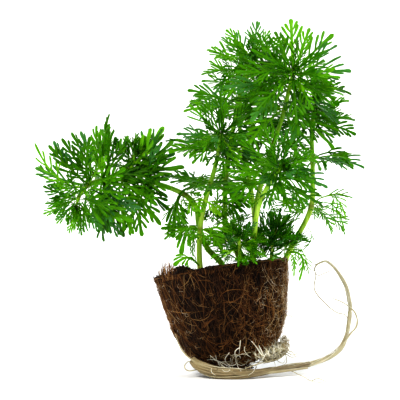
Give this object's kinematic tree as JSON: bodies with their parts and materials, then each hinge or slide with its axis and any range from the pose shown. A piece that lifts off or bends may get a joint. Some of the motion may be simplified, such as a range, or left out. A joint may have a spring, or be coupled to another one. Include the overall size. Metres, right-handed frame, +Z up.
{
  "type": "potted dwarf ambulia",
  "caption": "Aquarium stem plant rooted in a leaning coconut-fibre plug, with whorls of finely lobed leaves and a trailing root bundle.",
  "frame": {"origin": "on the flat underside of the root mat, under the foot of the coir plug", "axes": "+Z up, +X to the right and -Y to the front as in the picture"},
  "size_m": [0.1243, 0.0885, 0.1351],
  "materials": {
    "coir": "matte",
    "root": "satin",
    "stalk": "satin",
    "leaf": "satin"
  },
  "bodies": {
    "root": {"coir_plug": "coir", "root_mat": "root", "root_fringe": "root", "root_bundle": "root", "root_curl": "root", "root_offshoot": "root", "stem_right_front": "stalk", "stem_middle_front": "stalk", "stem_left_front": "stalk", "stem_left_branch": "stalk", "stem_top": "stalk", "stem_right_tall": "stalk", "stem_side_shoot": "stalk", "stem_back": "stalk", "stem_low_middle": "stalk", "stem_low_right": "stalk", "leaves_right_front_1": "leaf", "leaves_right_front_2": "leaf", "leaves_right_front_3": "leaf", "leaves_right_front_4": "leaf", "leaves_right_front_5": "leaf", "leaves_middle_front_1": "leaf", "leaves_middle_front_2": "leaf", "leaves_middle_front_3": "leaf", "leaves_middle_front_4": "leaf", "leaves_left_front_1": "leaf", "leaves_left_front_2": "leaf", "leaves_left_front_3": "leaf", "leaves_left_front_4": "leaf", "leaves_left_front_5": "leaf", "leaves_left_branch_1": "leaf", "leaves_left_branch_2": "leaf", "leaves_left_branch_3": "leaf", "leaves_left_branch_4": "leaf", "leaves_left_branch_5": "leaf", "leaves_left_branch_6": "leaf", "leaves_top_1": "leaf", "leaves_top_2": "leaf", "leaves_top_3": "leaf", "leaves_top_4": "leaf", "leaves_top_5": "leaf", "leaves_right_tall_1": "leaf", "leaves_right_tall_2": "leaf", "leaves_right_tall_3": "leaf", "leaves_right_tall_4": "leaf", "leaves_right_tall_5": "leaf", "leaves_right_tall_6": "leaf", "leaves_side_shoot_1": "leaf", "leaves_side_shoot_2": "leaf", "leaves_side_shoot_3": "leaf", "leaves_back_1": "leaf", "leaves_back_2": "leaf", "leaves_back_3": "leaf", "leaves_back_4": "leaf", "leaves_back_5": "leaf", "leaves_low_middle_1": "leaf", "leaves_low_middle_2": "leaf", "leaves_low_right_1": "leaf", "leaves_low_right_2": "leaf"}
  },
  "joints": []
}
